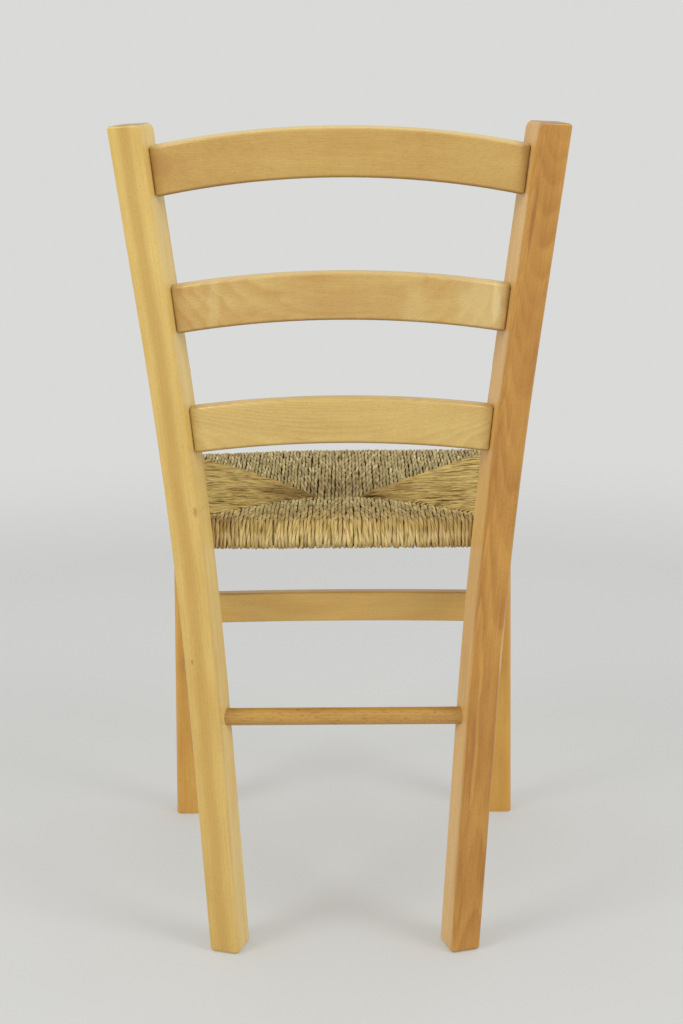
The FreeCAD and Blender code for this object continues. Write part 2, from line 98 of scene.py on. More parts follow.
class Tree:
    """The node tree of one material; its methods add nodes and return their output sockets."""

    def __init__(self, name, tree=None):
        if tree is None:
            self.material = bpy.data.materials.new(name)
            self.material.use_nodes = True
            tree = self.material.node_tree
        tree.nodes.clear()
        self.nodes = tree.nodes
        self.links = tree.links

    def feed(self, socket, value):
        if isinstance(value, bpy.types.NodeSocket):
            self.links.new(value, socket)
        else:
            socket.default_value = value

    def fill(self, node, *values):
        """Feed a node's first inputs, in their order."""
        for socket, value in zip(node.inputs, values):
            self.feed(socket, value)
        return node

    def wire(self, node, **values):
        """Feed a node's named inputs; an underscore stands for a space."""
        for name, value in values.items():
            self.feed(node.inputs[name.replace("_", " ")], value)
        return node

    def add(self, kind, **settings):
        node = self.nodes.new("ShaderNode" + kind)
        for key, value in settings.items():
            setattr(node, key, value)
        return node

    def math(self, operation, *inputs, clamp=False):
        node = self.add("Math", operation=operation, use_clamp=clamp)
        return self.fill(node, *inputs).outputs[0]

    def times(self, first, second):
        return self.math("MULTIPLY", first, second)

    def clamp(self, value):
        """A value kept from 0 to 1."""
        return self.math("MULTIPLY", value, 1.0, clamp=True)

    def vary(self, value, soft, amount):
        """A value that soft noise moves by up to half the amount either way."""
        return self.math("MULTIPLY_ADD", self.math("SUBTRACT", soft, 0.5), amount, value)

    def vector(self, operation, *inputs):
        node = self.add("VectorMath", operation=operation)
        self.fill(node, *inputs)
        return node.outputs["Value" if operation in ("LENGTH", "DOT_PRODUCT") else "Vector"]

    def join(self, x, y, z):
        return self.fill(self.add("CombineXYZ"), x, y, z).outputs[0]

    def split(self, vector):
        return self.fill(self.add("SeparateXYZ"), vector).outputs

    def attribute(self, name):
        return self.add("Attribute", attribute_name=name).outputs["Fac"]

    def coordinates(self, kind):
        return self.add("TexCoord").outputs[kind]

    def millimetres(self):
        """Position on the piece in millimetres."""
        position = self.vector("SCALE", self.coordinates("Object"))
        self.wire(position.node, Scale=MM)
        return position

    def noise(self, vector, scale=1.0, detail=2.0, roughness=0.5):
        """Soft noise from 0 to 1 about 0.5."""
        node = self.add("TexNoise", noise_dimensions="3D")
        self.wire(node, Vector=vector, Scale=scale, Detail=detail, Roughness=roughness)
        return node.outputs["Fac"]

    def stretched(self, position, rates, detail):
        """Soft noise that changes at another rate along each axis."""
        return self.noise(self.vector("MULTIPLY", position, rates), detail=detail)

    def between(self, value, low, high, to_low=0.0, to_high=1.0, smooth=True):
        """A value's place between two limits, clamped."""
        kind = "SMOOTHSTEP" if smooth else "LINEAR"
        node = self.add("MapRange", interpolation_type=kind)
        return self.fill(node, value, low, high, to_low, to_high).outputs[0]

    def mix(self, share, first, second, blend="MIX"):
        node = self.add("Mix", data_type="RGBA", blend_type=blend)
        self.feed(node.inputs[0], share)
        self.feed(node.inputs[6], first)
        self.feed(node.inputs[7], second)
        return node.outputs[2]

    def bump(self, height, distance, strength):
        node = self.add("Bump")
        return self.wire(node, Strength=strength, Distance=distance, Height=height).outputs[0]

    def blend(self, share, first, second):
        """A mix of two shaders."""
        node = self.add("MixShader")
        self.feed(node.inputs[0], share)
        self.links.new(first, node.inputs[1])
        self.links.new(second, node.inputs[2])
        return node.outputs[0]

    def surface(self, shader, output="OutputMaterial"):
        self.links.new(shader, self.add(output).inputs["Surface"])

    def principled(self, colour, roughness, normal, **settings):
        shader = self.add("BsdfPrincipled")
        self.wire(shader, Base_Color=colour, Roughness=roughness, Normal=normal, **settings)
        self.surface(shader.outputs[0])
        return self.material


# How much more a shade takes of the blue than of the green.
BLUE_LOSS = 2.4


def darken(tree, colour, shade, warmth):
    """Multiply a colour by a shade, which takes more of the green and still more of the blue."""
    green = tree.math("POWER", shade, 1.0 + warmth)
    blue = tree.math("POWER", shade, 1.0 + BLUE_LOSS * warmth)
    return tree.mix(1.0, colour, tree.join(shade, green, blue), blend="MULTIPLY")


def put_in_scene(name, data):
    """A new object with this data."""
    item = bpy.data.objects.new(name, data)
    bpy.context.scene.collection.objects.link(item)
    return item


def grain_frame(origin, along, facing):
    """Where a board lies: its x runs along the grain and its z out of its broad face."""
    x = Vector(along).normalized()
    z = (Vector(facing) - x * Vector(facing).dot(x)).normalized()
    y = z.cross(x)
    turn = Matrix((x, y, z)).transposed()
    return Vector(origin), turn.to_euler()


def board_coordinates(tree, place):
    """Position on the board in millimetres."""
    origin, turn = place
    mapping = tree.add("Mapping", vector_type="TEXTURE")
    size = (1.0 / MM, 1.0 / MM, 1.0 / MM)
    tree.wire(mapping, Vector=tree.coordinates("Object"), Location=origin, Rotation=turn, Scale=size)
    return mapping.outputs[0]


def straighten_bend(tree, board):
    """Take a post's bend out of its board coordinates, so that its grain follows the bend."""
    start = POST_BEND_START * MM
    run = (POST_BEND_END - POST_BEND_START) * MM
    x, y, z = tree.split(board)
    beyond = tree.math("SUBTRACT", x, start)
    bent = tree.math("MINIMUM", tree.math("MAXIMUM", beyond, 0.0), run)
    curve = tree.times(tree.times(bent, bent), math.tan(POST_LEAN) / (2 * run))
    straight = tree.math("MAXIMUM", tree.math("SUBTRACT", beyond, run), 0.0)
    lean = tree.math("MULTIPLY_ADD", straight, math.tan(POST_LEAN), curve)
    return tree.join(x, y, tree.math("SUBTRACT", z, lean))


def cut(tilt, radius, middle=(0.0, 0.0), curve=0.0, slope=0.0, lens=None):
    """How a board is cut out of its tree, which gives the figure on its face.

    The rings are tilted by so many degrees and bend with the radius about the middle (x, y).  Along
    the board they bend by the curve and rise by the slope.  A lens closes them to ovals, with its
    half length along the board and its half width across it.
    """
    return {"tilt": math.radians(tilt), "radius": radius, "middle": middle, "curve": curve,
            "slope": slope, "lens": lens}


def ring_height(tree, board, figure):
    """Where a point of the board lies across the growth rings."""
    x, y, z = tree.split(board)
    height = tree.times(z, math.cos(figure["tilt"]))
    height = tree.math("MULTIPLY_ADD", y, math.sin(figure["tilt"]), height)
    middle_x, middle_y = figure["middle"]
    off = tree.math("SUBTRACT", y, middle_y)
    along = tree.math("SUBTRACT", x, middle_x)
    arch = tree.times(off, off)
    if figure["lens"]:
        half_length, half_width = figure["lens"]
        closing = tree.between(tree.math("ABSOLUTE", along), 0.0, half_length, 1.0, 0.0)
        arch = tree.times(tree.math("MINIMUM", arch, half_width ** 2), closing)
    height = tree.math("MULTIPLY_ADD", arch, 0.5 / figure["radius"], height)
    height = tree.math("MULTIPLY_ADD", tree.times(along, along), figure["curve"], height)
    return tree.math("MULTIPLY_ADD", x, figure["slope"], height)


# Noise on wood: its rates per millimetre along the grain and across it.
RING_WANDER = (0.010, 0.035, 0.035)
RING_TREMBLE = (0.035, 0.12, 0.12)
RING_PATCHES = (0.008, 0.03, 0.03)
CLOUDS = (0.009, 0.045, 0.045)
FIBRES = (0.017, 0.75, 0.75)
HAIRS = (0.06, 2.6, 2.6)
RIPPLES = (0.075, 0.016, 0.016)
BAND_SWAY = (0.006, 0.0, 0.0)
DASHES = (0.30, 1.9, 1.9)

# Each growth ring darkens slowly over its first part and turns pale again over its last part.
RING_RISE = (0.0, 0.75)
RING_FALL = (0.78, 1.0)
RING_MIDDLE = 0.45

# How far the rings wander and tremble, in periods, and where they are faint and by how much.
WANDER = 1.3
TREMBLE = 0.35
FAINT_PATCHES = (0.35, 0.6)
FAINT = 0.25


def ring_tone(tree, board, figure, strength, period):
    """Growth rings, where the board cuts through them: lighter below 0 and darker above it."""
    height = ring_height(tree, board, figure)
    wander = tree.stretched(board, RING_WANDER, 1.0)
    tremble = tree.stretched(board, RING_TREMBLE, 1.0)
    height = tree.math("MULTIPLY_ADD", wander, period * WANDER, height)
    height = tree.math("MULTIPLY_ADD", tremble, period * TREMBLE, height)
    share = tree.math("FRACT", tree.math("DIVIDE", height, period))
    ring = tree.math("SUBTRACT", tree.between(share, *RING_RISE), tree.between(share, *RING_FALL))
    patchy = tree.stretched(board, RING_PATCHES, 1.0)
    amount = tree.between(patchy, *FAINT_PATCHES, strength * FAINT, strength)
    return tree.times(tree.math("SUBTRACT", ring, RING_MIDDLE), amount)


MARK_RAGS = 1.6
MARK_FRAY = 0.9
MARK_EDGE = (0.35, 1.1)


def mark(tree, board, colour, spot, size, strength, tone):
    """A small stain, knot or streak along the grain; some marks are painted highlights and painted shadows
    instead.
    """
    length, width = size
    shifted = tree.vector("SUBTRACT", board, (*spot, 0.0))
    flat = tree.vector("MULTIPLY", shifted, (1.0 / length, 1.0 / width, 0.0))
    ragged = tree.stretched(board, (MARK_RAGS / length, MARK_RAGS / width, MARK_RAGS / width), 1.0)
    away = tree.vary(tree.vector("LENGTH", flat), ragged, MARK_FRAY)
    return tree.mix(tree.between(away, *MARK_EDGE, strength, 0.0), colour, linear(*tone))


# How warm a shade on wood is, how the heartwood lies in a board and frays at its edge, and where along a post
# painted light makes it paler towards the top.
WOOD_WARMTH = 0.3
HEART_TILT = math.radians(45)
HEART_FRAY = 3.0
POST_PAINTED_LIGHT = (60.0, 860.0)


def heartwood(tree, board, colour, tone, fibre, heart, painted_top_light):
    """Redder wood from one edge of the board inwards, with painted light that makes it paler towards the
    board's upper end.
    """
    side, start, end, strength, light, dark = heart
    x, y, z = tree.split(board)
    depth = tree.times(z, math.cos(HEART_TILT))
    depth = tree.math("MULTIPLY_ADD", y, -side * math.sin(HEART_TILT), depth)
    depth = tree.vary(depth, fibre, HEART_FRAY)
    inner = tree.mix(tree.clamp(tone), linear(*light), linear(*dark))
    # Painted light: the post gets paler towards its top, as the light falls off lower down.
    painted_light = tree.between(x, *POST_PAINTED_LIGHT, 1.0, 1.0 + painted_top_light, smooth=False)
    inner = darken(tree, inner, painted_light, WOOD_WARMTH)
    return tree.mix(tree.between(depth, start, end, 0.0, strength), colour, inner)


BAND_FRAY = 0.8
BAND_EDGE = (0.2, 1.2)


def streak_along(tree, board, position, colour, fibre, band):
    """A soft band of another tone that runs along the board."""
    offset, half_width, strength, tone = band
    sway = tree.stretched(position, BAND_SWAY, 1.0)
    middle = tree.math("MULTIPLY_ADD", sway, half_width, offset - half_width / 2)
    away = tree.math("ABSOLUTE", tree.math("SUBTRACT", tree.split(board)[1], middle))
    away = tree.vary(away, fibre, half_width * BAND_FRAY)
    inner, outer = BAND_EDGE
    share = tree.between(away, half_width * inner, half_width * outer, strength, 0.0)
    return tree.mix(share, colour, linear(*tone))


# The tone of the painted highlight on upper edges, and the upright part of the normals that look up or down.
PAINTED_EDGE_HIGHLIGHT = (244, 224, 156)
LOOKS_UP = (0.15, 0.85)
LOOKS_DOWN = (-0.75, -0.12)


def paint_edge_light_and_shade(tree, colour, shade, painted_edge_light):
    """Painted highlight and painted shade on what looks up, and painted shade on what looks down."""
    painted_highlight_share, above, below = painted_edge_light
    upright = tree.split(tree.coordinates("Normal"))[2]
    colour = tree.mix(tree.between(upright, *LOOKS_UP, 0.0, painted_highlight_share), colour, linear(*PAINTED_EDGE_HIGHLIGHT))
    shade = tree.math("ADD", shade, tree.between(upright, *LOOKS_UP, 0.0, above))
    shade = tree.math("ADD", shade, tree.between(upright, *LOOKS_DOWN, below, 0.0))
    return colour, shade


END_GRAIN = (104, 84, 58)
END_GRAIN_SHARE = 0.55
END_FACES = (0.80, 0.97)


def darken_ends(tree, colour, place):
    """A darker tone where a board is cut across its grain."""
    along = place[1].to_matrix() @ Vector((1, 0, 0))
    facing = tree.math("ABSOLUTE", tree.vector("DOT_PRODUCT", tree.coordinates("Normal"), tuple(along)))
    end_grain = tree.mix(END_GRAIN_SHARE, colour, linear(*END_GRAIN))
    return tree.mix(tree.between(facing, *END_FACES), colour, end_grain)


STRAIGHT = cut(70, 400.0, slope=0.004)

# How far on along x and y the next seed's board takes its noise.
NEXT_BOARD = (137.0, 11.0)

FIBRE_TONE = 0.85
HAIR_SHADE = 0.16
FLECK_EDGE = (0.60, 0.70)
FLECK_DEPTH = 0.6
PORE_DEPTH = 0.00006
PORE_STRENGTH = 0.5
ROUGHNESS = 0.42
ROUGHNESS_RANGE = 0.25


def beech(name, place, tones, seed, figure=STRAIGHT, rings=0.35, period=3.0, ripple=0.0,
          flecks=0.10, fleck_size=1.0, band=None, heart=None, marks=(), bent=False, painted_top_light=0.0,
          cloudy=1.5, painted_edge_light=None):
    """Varnished beech: soft growth rings, long fibres, and short darker flecks."""
    tree = Tree(name)
    board = board_coordinates(tree, place)
    if bent:
        board = straighten_bend(tree, board)
    position = tree.vector("ADD", board, (seed * NEXT_BOARD[0], seed * NEXT_BOARD[1], 0.0))

    cloud = tree.stretched(position, CLOUDS, 2.0)
    fibre = tree.stretched(position, FIBRES, 2.0)
    hair = tree.stretched(position, HAIRS, 1.0)
    tone = tree.vary(tree.vary(0.5, cloud, cloudy), fibre, FIBRE_TONE)
    tone = tree.math("ADD", tone, ring_tone(tree, board, figure, rings, period))
    if ripple:
        tone = tree.vary(tone, tree.stretched(position, RIPPLES, 1.0), ripple)
    light, dark = tones
    colour = tree.mix(tree.clamp(tone), linear(*light), linear(*dark))
    if heart:
        colour = heartwood(tree, board, colour, tone, fibre, heart, painted_top_light)
    if band:
        colour = streak_along(tree, board, position, colour, fibre, band)
    # Marks are stains, knots and streaks, and some are painted highlights and painted shadows.
    for spot, size, strength, stain_or_painted_light in marks:
        colour = mark(tree, board, colour, spot, size, strength, stain_or_painted_light)

    dash = tree.stretched(position, tuple(rate / fleck_size for rate in DASHES), 0.0)
    fleck = tree.between(dash, *FLECK_EDGE)
    shade = tree.math("MULTIPLY_ADD", fleck, -flecks, tree.vary(1.0, hair, HAIR_SHADE))
    # Painted light: a painted highlight and painted shade on upper edges, and painted shade on lower edges.
    if painted_edge_light:
        colour, shade = paint_edge_light_and_shade(tree, colour, shade, painted_edge_light)
    colour = darken_ends(tree, darken(tree, colour, shade, WOOD_WARMTH), place)

    roughness = tree.vary(ROUGHNESS, fibre, ROUGHNESS_RANGE)
    height = tree.math("MULTIPLY_ADD", fleck, -FLECK_DEPTH, hair)
    normal = tree.bump(height, PORE_DEPTH, PORE_STRENGTH)
    return tree.principled(colour, roughness, normal, Coat_Weight=0.3, Coat_Roughness=0.16)


def paint(node, material):
    """Give a CAD node its material."""
    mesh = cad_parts[node].data
    mesh.materials.clear()
    mesh.materials.append(material)


def middle_of(node):
    low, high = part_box(node)
    return (low + high) / 2


# The two sides of the chair: name and the sign of X.
SIDES = (("left", 1.0), ("right", -1.0))

# The light and the dark tone of each kind of part, and below them the seed of its noise.
TONES = {
    "post_left": ((236, 208, 132), (220, 186, 106)),
    "post_right": ((230, 190, 118), (212, 164, 92)),
    "leg": ((224, 175, 84), (202, 145, 56)),
    "slat_top": ((216, 179, 100), (194, 149, 73)),
    "slat_middle": ((219, 185, 110), (199, 153, 81)),
    "slat_bottom": ((225, 195, 118), (207, 169, 93)),
    "stretcher": ((231, 193, 110), (211, 167, 87)),
    "rear_rung": ((203, 159, 76), (177, 128, 54)),
    "side_rung": ((212, 166, 94), (190, 140, 72)),
    "rail": ((196, 160, 112), (170, 130, 84)),
}
SEEDS = {"post_left": 3, "post_right": 11, "leg": 20, "slat_top": 31, "slat_middle": 37,
         "slat_bottom": 43, "stretcher": 51, "rear_rung": 57, "side_rung": 60, "rail": 70}

# A mark is its spot (x, y) on the board, its half length and half width, its strength and its tone.
# A heart is its side, from which depth to which it sets in, its strength and its two tones.
# A band is its y, its half width, its strength and its tone.
# Edge light is how much painted highlight the upper edge gets, and what painted shade is added to the upper
# and lower edge.
POST_LOOKS = {
    "left": {
        "rings": 0.2,
        "period": 4.0,
        "heart": (-1.0, -9.0, 6.0, 1.0, (225, 190, 108), (204, 164, 80)),
        "painted_top_light": 0.17,
        "band": (0.0, 8.5, 0.6, (200, 155, 74)),
        "marks": (
            ((334.6, 7.2), (3.4, 1.8), 0.6, (158, 98, 40)),
            ((498.3, -15.0), (7.0, 2.0), 0.5, (150, 100, 52)),
        ),
    },
    "right": {
        "figure": cut(8, 55.0, middle=(230.0, 2.0), curve=-0.00009),
        "rings": 0.5,
        "period": 2.6,
        "flecks": 0.14,
        "heart": (1.0, -4.0, 3.0, 1.0, (204, 150, 66), (172, 114, 36)),
        "painted_top_light": 0.09,
        "marks": (
            ((795.0, 11.0), (42.0, 3.0), 0.55, (150, 84, 30)),
            ((230.0, 9.0), (95.0, 2.4), 0.5, (156, 100, 44)),
            # A painted highlight: a glint along the outer arris.
            ((348.0, -15.2), (52.0, 2.2), 0.6, (236, 196, 126)),
        ),
    },
}
SLAT_LOOKS = {
    "top": {
        "figure": cut(86, 500.0, curve=0.00004),
        "rings": 0.22,
        "period": 2.3,
        "ripple": 0.25,
        "cloudy": 1.0,
        "painted_edge_light": (0.55, 0.0, -0.36),
        "marks": (
            ((172.0, 4.0), (30.0, 16.0), 0.5, (184, 132, 66)),
            # Painted shadow of the right post at the slat's end.
            ((-178.0, 0.0), (9.0, 60.0), 0.5, (160, 116, 58)),
        ),
    },
    "middle": {
        "figure": cut(0, -17.0, middle=(-6.0, 1.0), lens=(105.0, 12.0)),
        "rings": 0.42,
        "period": 4.3,
        "ripple": 0.45,
        "painted_edge_light": (0.40, -0.04, -0.36),
        "marks": (
            ((-140.0, 2.0), (34.0, 40.0), 0.5, (232, 208, 142)),
            ((-70.0, 4.0), (18.0, 30.0), 0.4, (226, 196, 126)),
            ((-8.0, 1.0), (72.0, 15.0), 0.5, (196, 148, 82)),
            ((123.0, 2.0), (8.0, 30.0), 0.38, (232, 204, 136)),
            ((-151.0, 2.0), (5.5, 30.0), 0.45, (244, 224, 164)),
            # Painted shadow of the right post at the slat's end.
            ((-164.0, 0.0), (5.0, 60.0), 0.45, (166, 124, 66)),
        ),
    },
    "bottom": {
        "figure": cut(0, 30.0, middle=(-20.0, 22.0), curve=0.00032),
        "rings": 0.38,
        "period": 4.6,
        "ripple": 0.25,
        "painted_edge_light": (0.10, -0.10, -0.36),
        # Painted shadow of the right post at the slat's end.
        "marks": (((-155.0, 0.0), (6.0, 60.0), 0.4, (166, 124, 66)),),
    },
}
LEG_LOOK = {"rings": 0.3}
REAR_RUNG_LOOK = {"flecks": 0.24, "fleck_size": 1.5}
SIDE_RUNG_LOOK = {"flecks": 0.3, "fleck_size": 1.5}
# The stretcher's upper edge gets painted shade, standing in for the seat's shadow.
STRETCHER_LOOK = {"figure": cut(84, 500.0, curve=0.00003), "rings": 0.25, "painted_edge_light": (0.0, -0.24, 0.0)}


def paint_posts():
    """The left post is pale with a tan middle; the right one shows darker heartwood on its back."""
    for side, sign in SIDES:
        along = (sign * math.sin(POST_SPLAY), 0.0, math.cos(POST_SPLAY))
        facing = (sign * math.sin(POST_TURN), math.cos(POST_TURN), 0.0)
        place = grain_frame((sign * POST_FOOT.x, POST_FOOT.y, 0.0), along, facing)
        kind = "post_" + side
        look = POST_LOOKS[side]
        paint("rear_post_" + side, beech("beech_" + kind, place, TONES[kind], SEEDS[kind], bent=True, **look))


def paint_legs():
    for step, (side, sign) in enumerate(SIDES):
        node = "front_leg_" + side
        along = (-sign * math.sin(LEG_LEAN), 0.0, math.cos(LEG_LEAN))
        place = grain_frame(middle_of(node), along, BACK)
        paint(node, beech("beech_leg_" + side, place, TONES["leg"], SEEDS["leg"] + step, **LEG_LOOK))


def paint_slats():
    """Each slat's board is cut another way through its rings."""
    for level, look in SLAT_LOOKS.items():
        node = "back_slat_" + level
        kind = "slat_" + level
        place = grain_frame(middle_of(node), (1.0, 0.0, 0.0), BACK)
        paint(node, beech("beech_" + kind, place, TONES[kind], SEEDS[kind], **look))


def paint_crosspieces():
    """The stretcher in front, and the rungs, which show more flecks."""
    for node, kind, look in (("front_stretcher", "stretcher", STRETCHER_LOOK),
                             ("rear_rung", "rear_rung", REAR_RUNG_LOOK)):
        place = grain_frame(middle_of(node), (1.0, 0.0, 0.0), BACK)
        paint(node, beech("beech_" + kind, place, TONES[kind], SEEDS[kind], **look))
    for step, (side, sign) in enumerate(SIDES):
        for level in ("upper", "lower"):
            node = "side_rung_" + level + "_" + side
            low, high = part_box(node)
            place = grain_frame(middle_of(node), (sign * (high.x - low.x), low.y - high.y, 0.0), UP)
            name = "beech_rung_" + level + "_" + side
            seed = SEEDS["side_rung"] + step
            paint(node, beech(name, place, TONES["side_rung"], seed, **SIDE_RUNG_LOOK))


def paint_rails():
    """The seat rails, which are inside the rush."""
    for step, name in enumerate(("front", "rear", "left", "right")):
        node = "seat_rail_" + name
        along = (1.0, 0.0, 0.0) if name in ("front", "rear") else (0.0, 1.0, 0.0)
        place = grain_frame(middle_of(node), along, UP)
        paint(node, beech("raw_" + node, place, TONES["rail"], SEEDS["rail"] + step))


# The least reach of a cord at the seat's corners, and slack for a ray that meets a line's end.
CORNER_REACH = 0.003
PARALLEL = 1e-9
LINE_SLACK = 0.001

# How late the fan of the cords and the curl at their ends set in.
FAN_POWER = 1.6
CURL_POWER = 5
APEX_STEPS = 100
END_TRIES = 12

# How finely a cord's way round its rail is drawn.
FLAT_STEP = 0.006
ROLL_STEPS = 8
DIVE_STEPS = 4


def quarter_turn(inward, height, radius, start, steps):
    """Points on a quarter of a circle that starts at an angle in degrees: (inward, height)."""
    angles = [math.radians(start + 90.0 * step / steps) for step in range(steps + 1)]
    return [(inward + radius * math.cos(angle), height + radius * math.sin(angle)) for angle in angles]


class Panel:
    """One woven panel: cords that go round its rail and dive at the mitre lines.

    The fan is how much the cords lean towards the panel's apex, and the curl how far their ends turn
    aside on either half of the rail.
    """

    def __init__(self, start, end, boundary, fan, curl):
        self.start = Vector(start)
        along = Vector(end) - self.start
        self.length = along.length
        self.along = along.normalized()
        inward = Vector((-self.along.y, self.along.x, 0.0))
        centre = Vector((0.0, BRIDGE_Y, SEAT_Z))
        self.inward = inward if inward.dot(centre - self.start) > 0 else -inward
        self.boundary = [Vector((x, y)) for x, y in boundary]
        self.fan = fan
        self.curl = curl
        places = [self.length * step / APEX_STEPS for step in range(APEX_STEPS + 1)]
        self.apex = max(places, key=self.reach)
        self.span = self.reach(self.apex)

    def reach(self, distance):
        """How far inward of the rail the mitre line lies, at a distance along the rail."""
        point = (self.start + self.along * distance).to_2d()
        ray = self.inward.to_2d()
        best = CORNER_REACH
        for first, second in zip(self.boundary, self.boundary[1:]):
            edge = second - first
            cross = ray.x * edge.y - ray.y * edge.x
            if abs(cross) < PARALLEL:
                continue
            gap = first - point
            on_ray = (gap.x * edge.y - gap.y * edge.x) / cross
            on_edge = (gap.x * ray.y - gap.y * ray.x) / cross
            if -LINE_SLACK <= on_edge <= 1.0 + LINE_SLACK and on_ray > best:
                best = on_ray
        return best

    def drift(self, distance, inward, end):
        """How far a cord has moved along the rail, at a distance inward of it."""
        share = min(max(inward / self.span, 0.0), 1.0)
        fan = self.fan * (self.apex - distance) * share ** FAN_POWER
        near_end = min(max(inward / end, 0.0), 1.0) ** CURL_POWER
        side = -1.0 if distance < self.apex else 1.0
        curl = self.curl[0 if side < 0 else 1]
        return fan + side * curl * near_end

    def end_of(self, distance):
        """Where a cord meets the mitre line."""
        end = self.reach(distance)
        for _ in range(END_TRIES):
            moved = distance + self.drift(distance, end, end)
            end = 0.5 * end + 0.5 * self.reach(min(max(moved, 0.0), self.length))
        return end

    def top(self, inward):
        share = max(inward, 0.0) / self.span
        return ROLL_HALF_HEIGHT - DISH_TOP * share * share

    def bottom(self, inward):
        share = max(inward, 0.0) / self.span
        return -ROLL_HALF_HEIGHT + DISH_BOTTOM * share * share

    def section(self, end, depth, dive):
        """The line of a cord round the rail: (inward, height) points, at a depth inside the surface."""
        turn = ROLL_EDGE_RADIUS - depth
        corner = -ROLL_HALF_THICKNESS + ROLL_EDGE_RADIUS
        centre = ROLL_HALF_HEIGHT - ROLL_EDGE_RADIUS
        flat_end = max(end - dive, corner)
        points = [(flat_end + dive, self.top(end) - depth - 2 * dive)]
        points += quarter_turn(flat_end, self.top(flat_end) - depth - dive, dive, 0.0, DIVE_STEPS)
        count = max(2, int((flat_end - corner) / FLAT_STEP))
        for step in range(1, count):
            inward = flat_end + (corner - flat_end) * step / count
            points.append((inward, self.top(inward) - depth))
        points += quarter_turn(corner, centre, turn, 90.0, ROLL_STEPS)
        points += quarter_turn(corner, -centre, turn, 180.0, ROLL_STEPS)
        for step in range(1, count):
            inward = corner + (flat_end - corner) * step / count
            points.append((inward, self.bottom(inward) + depth))
        points += quarter_turn(flat_end, self.bottom(flat_end) + depth + dive, dive, -90.0, DIVE_STEPS)
        return np.array(points)


# A point on the left rear post's front face at the seat, and what keeps the cords in front of it.
POST_FACE_POINT = Vector((0.1295, 0.1408, 0.0))
POST_CLEARANCE = 1.1
POST_EDGE = 0.002


def clear_of_posts(centre, radius):
    """Keep a cord's centre line in front of the rear posts."""
    for sign in (1.0, -1.0):
        normal = np.array((-sign * math.sin(POST_TURN), -math.cos(POST_TURN), 0.0))
        point = np.array((sign * POST_FACE_POINT.x, POST_FACE_POINT.y, 0.0))
        gap = (centre - point) @ normal - radius * POST_CLEARANCE
        beside = centre[:, 0] * sign > POST_FACE_POINT.x - POST_EDGE
        centre = centre + normal[None] * np.where(beside & (gap < 0), -gap, 0.0)[:, None]
    return centre


SETTLED_LENGTH = 0.17
SETTLED_DEPTH = 0.0045


def settle(centre):
    """Lower the top of the seat a little towards its front left corner."""
    away = np.hypot(centre[:, 0] - FRONT_CORNER_X, centre[:, 1] - FRONT_RAIL_Y)
    near = np.clip(1.0 - away / SETTLED_LENGTH, 0.0, 1.0)
    upper = np.clip((centre[:, 2] - SEAT_Z) / ROLL_HALF_HEIGHT, 0.0, 1.0)
    lower = centre.copy()
    lower[:, 2] -= SETTLED_DEPTH * near * near * (3 - 2 * near) * upper
    return lower


CORD_SIDES = 12
CORD_STEP = 0.0020
PLY_OFFSET = 0.27
PLY_RADIUS = 0.79


def lobe(angle):
    """Outline of two strands that are twisted together, as a share of the cord's radius."""
    cosine = abs(math.cos(angle))
    sine = math.sin(angle)
    return PLY_OFFSET * cosine + math.sqrt(PLY_RADIUS ** 2 - (PLY_OFFSET * sine) ** 2)


def resample(points, step):
    """Points of a polyline at equal steps, with its length at each."""
    lengths = np.concatenate(([0.0], np.cumsum(np.linalg.norm(np.diff(points, axis=0), axis=1))))
    count = max(3, int(lengths[-1] / step) + 1)
    at = np.linspace(0.0, lengths[-1], count)
    return np.stack([np.interp(at, lengths, points[:, axis]) for axis in (0, 1)], 1), at


def soft_noise(along, row, frequency):
    """Smooth random values along a cord; near rows differ little if their numbers are near."""
    return np.array([noise.noise(Vector((s * frequency, row, frequency))) for s in along])


# Rates of the noise along a cord, per metre, and from cord to cord, per millimetre.
SWAY_RATE = 28.0
LIFT_RATE = 30.0
WAVE_RATE = 70.0
SWELL_RATE = 60.0
ROW_RATE = 0.9
WAVE_HEIGHT = 0.0003
SWELL = 0.18


def cord_line(panel, distance, radius, look):
    """A cord's centre line, the normal of the seat at each point, and the length up to there."""
    end = panel.end_of(distance)
    flat, at = resample(panel.section(end, radius, look["dive"]), CORD_STEP)
    ahead = np.gradient(flat, axis=0)
    ahead /= np.linalg.norm(ahead, axis=1)[:, None]
    out = np.stack([-ahead[:, 1], ahead[:, 0]], 1)
    row = distance * MM
    sway = soft_noise(at, row * ROW_RATE, SWAY_RATE) * look["sway"]
    lift = soft_noise(at, row * look["bunch"], LIFT_RATE) * look["lift"]
    lift = lift + soft_noise(at, row * ROW_RATE, WAVE_RATE) * WAVE_HEIGHT
    moved = np.array([panel.drift(distance, inward_at, end) for inward_at in flat[:, 0]])
    along = np.array(panel.along)
    inward = np.array(panel.inward)
    up = np.array(UP)
    base = np.array(panel.start)[None] + along[None] * (distance + moved + sway)[:, None]
    centre = base + inward[None] * (flat[:, 0] + out[:, 0] * lift)[:, None]
    centre = centre + up[None] * (flat[:, 1] + out[:, 1] * lift)[:, None]
    normal = inward[None] * out[:, 0][:, None] + up[None] * out[:, 1][:, None]
    return settle(clear_of_posts(centre, radius)), normal, at


